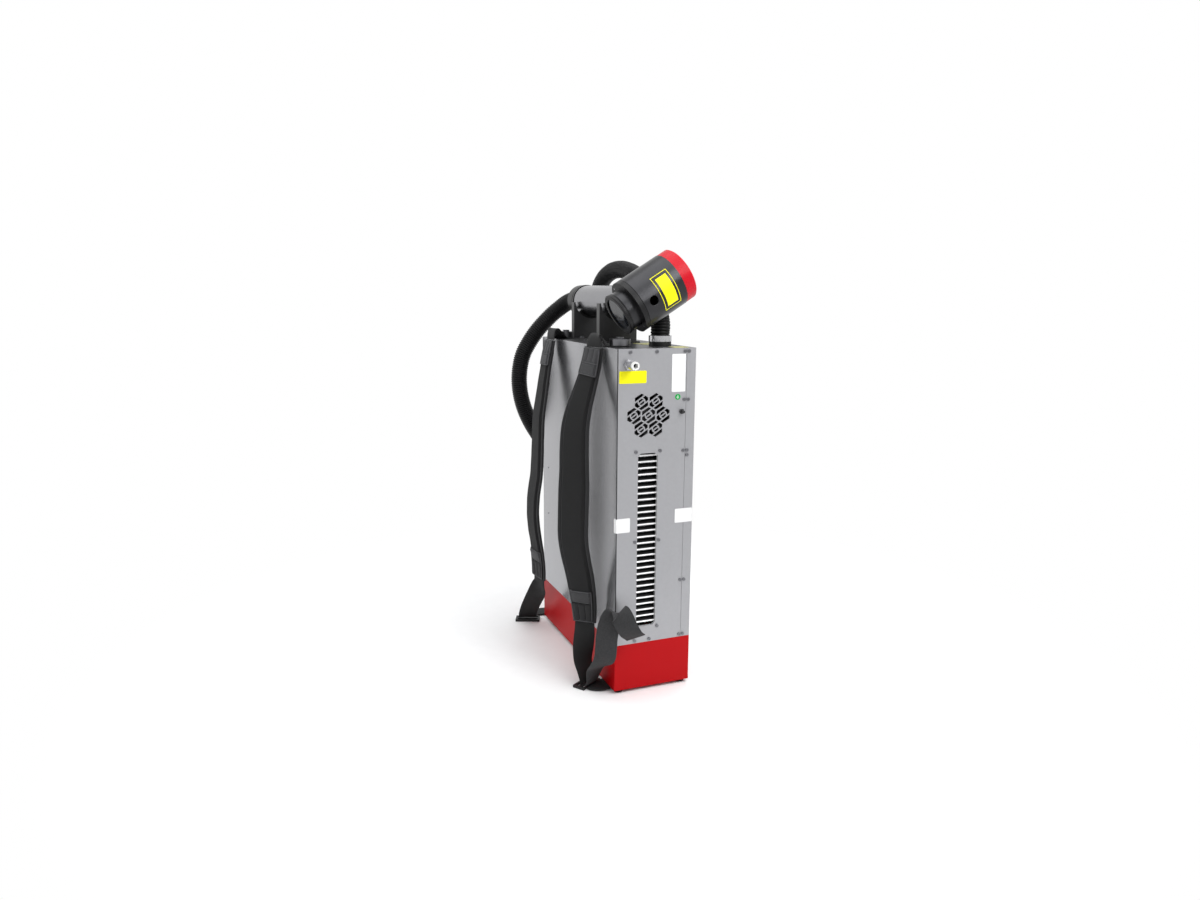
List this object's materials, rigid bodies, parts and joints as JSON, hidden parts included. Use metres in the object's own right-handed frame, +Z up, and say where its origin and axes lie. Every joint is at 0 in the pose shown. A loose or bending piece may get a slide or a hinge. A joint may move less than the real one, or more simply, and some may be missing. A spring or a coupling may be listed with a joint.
{
  "type": "laser cleaning machine",
  "caption": "Backpack laser cleaning machine: slim vented case on a red tray, padded shoulder straps, ribbed hose and a hand-held gun resting in a cradle on top.",
  "frame": {"origin": "centre of the base tray's underside", "axes": "+Z up; -Y out of the vent face; -X out of the wearer's face"},
  "size_m": [0.2556, 0.5269, 0.7676],
  "materials": {
    "red_gloss": "gloss",
    "rubber_black": "matt",
    "steel_zinc": "satin",
    "silver_paint": "satin",
    "grey_paint": "satin",
    "steel_bright": "satin",
    "plastic_black": "matt",
    "aluminium_bare": "satin",
    "steel_dark": "satin",
    "board_green": "gloss",
    "tube_blue": "gloss",
    "fibre_jacket": "matt",
    "plastic_white": "matt",
    "steel_black": "satin",
    "hose_black": "satin",
    "plastic_grey": "matt",
    "pad_fabric": "matt",
    "webbing_black": "matt",
    "webbing_grey": "matt",
    "gun_black": "satin",
    "gun_matt": "matt",
    "gun_grey": "satin",
    "glass_clear": "gloss",
    "red_cap": "gloss",
    "mirror_face": "gloss"
  },
  "bodies": {
    "case": {"base_tray": "red_gloss", "base_feet": "rubber_black", "chassis_frame": "steel_zinc", "wearer_cover": "silver_paint", "side_cover": "silver_paint", "front_panel": "silver_paint", "rear_panel": "silver_paint", "top_panel": "grey_paint", "panel_screws": "steel_bright", "louvre_grille": "steel_bright", "fan_frame": "plastic_black", "heat_sink": "aluminium_bare", "laser_source": "steel_dark", "power_supply": "steel_zinc", "control_board": "board_green", "air_valve": "aluminium_bare", "air_line": "tube_blue", "fibre_lead": "fibre_jacket", "air_inlet_body": "steel_bright", "earth_stud": "steel_black", "gland_base": "plastic_black", "gland_nut": "steel_bright", "hose": "hose_black", "cradle_base": "steel_black", "cradle_front": "plastic_black", "cradle_rear": "plastic_black", "cradle_liners": "rubber_black", "cradle_screws": "steel_bright", "strap_bolts": "steel_bright", "strap_pad_front": "pad_fabric", "strap_pad_rear": "pad_fabric", "webbing_front": "webbing_black", "webbing_rear": "webbing_black", "strap_sliders": "plastic_black", "webbing_tail": "webbing_grey", "mains_inlet": "plastic_black", "switch_bodies": "plastic_black"},
    "gun": {"hose_collar": "plastic_black", "head_body": "gun_black", "head_flange": "gun_matt", "lens_barrel": "gun_black", "lens_ring": "gun_matt", "protective_glass": "glass_clear", "focus_lens": "glass_clear", "end_cap": "red_cap", "galvo_motor": "aluminium_bare", "galvo_board": "board_green", "handle_neck": "gun_matt", "handle_tube": "gun_grey", "tail_rings": "gun_matt", "collimator": "aluminium_bare"},
    "mirror": {"scan_mirror": "mirror_face"},
    "button": {"fire_button": "red_cap"},
    "fan": {"fan_rotor": "plastic_black"},
    "knob_front": {"strap_knob_front": "plastic_grey"},
    "knob_rear": {"strap_knob_rear": "plastic_grey"},
    "release_ring": {"air_release_ring": "plastic_white"},
    "rocker": {"power_switch": "plastic_black"},
    "key": {"key_switch": "steel_bright"},
    "stop_button": {"emergency_stop": "red_cap"}
  },
  "joints": [
    {"name": "gun_lift", "type": "slide", "parent": "case", "child": "gun", "axis": [0, 0, 1], "range_m": [0, 0.06]},
    {"name": "scan_mirror_turn", "type": "hinge", "parent": "gun", "child": "mirror", "pos_m": [-0.00954, -0.166, 0.68468], "axis": [-0.5225, 0, 0.8526], "range_deg": [-12, 12]},
    {"name": "fire_button_press", "type": "slide", "parent": "gun", "child": "button", "axis": [-0.8526, 0, -0.5225], "range_m": [0, 0.0025], "stiffness_N_per_m": 400},
    {"name": "fan_spin", "type": "hinge", "parent": "case", "child": "fan", "pos_m": [-0.0145, -0.18, 0.488], "axis": [0, 1, 0], "continuous": true},
    {"name": "knob_front_turn", "type": "hinge", "parent": "case", "child": "knob_front", "pos_m": [-0.043, -0.137, 0.608], "axis": [0, 0, 1], "continuous": true},
    {"name": "knob_rear_turn", "type": "hinge", "parent": "case", "child": "knob_rear", "pos_m": [-0.043, 0.137, 0.608], "axis": [0, 0, 1], "continuous": true},
    {"name": "release_ring_press", "type": "slide", "parent": "case", "child": "release_ring", "axis": [0, 1, 0], "range_m": [0, 0.0015], "stiffness_N_per_m": 800},
    {"name": "rocker_tip", "type": "hinge", "parent": "case", "child": "rocker", "pos_m": [0, 0.1965, 0.415], "axis": [1, 0, 0], "range_deg": [0, 20]},
    {"name": "key_turn", "type": "hinge", "parent": "case", "child": "key", "pos_m": [0, 0.2, 0.47], "axis": [0, 1, 0], "range_deg": [0, 90]},
    {"name": "stop_press", "type": "slide", "parent": "case", "child": "stop_button", "axis": [0, -1, 0], "range_m": [0, 0.004]}
  ]
}
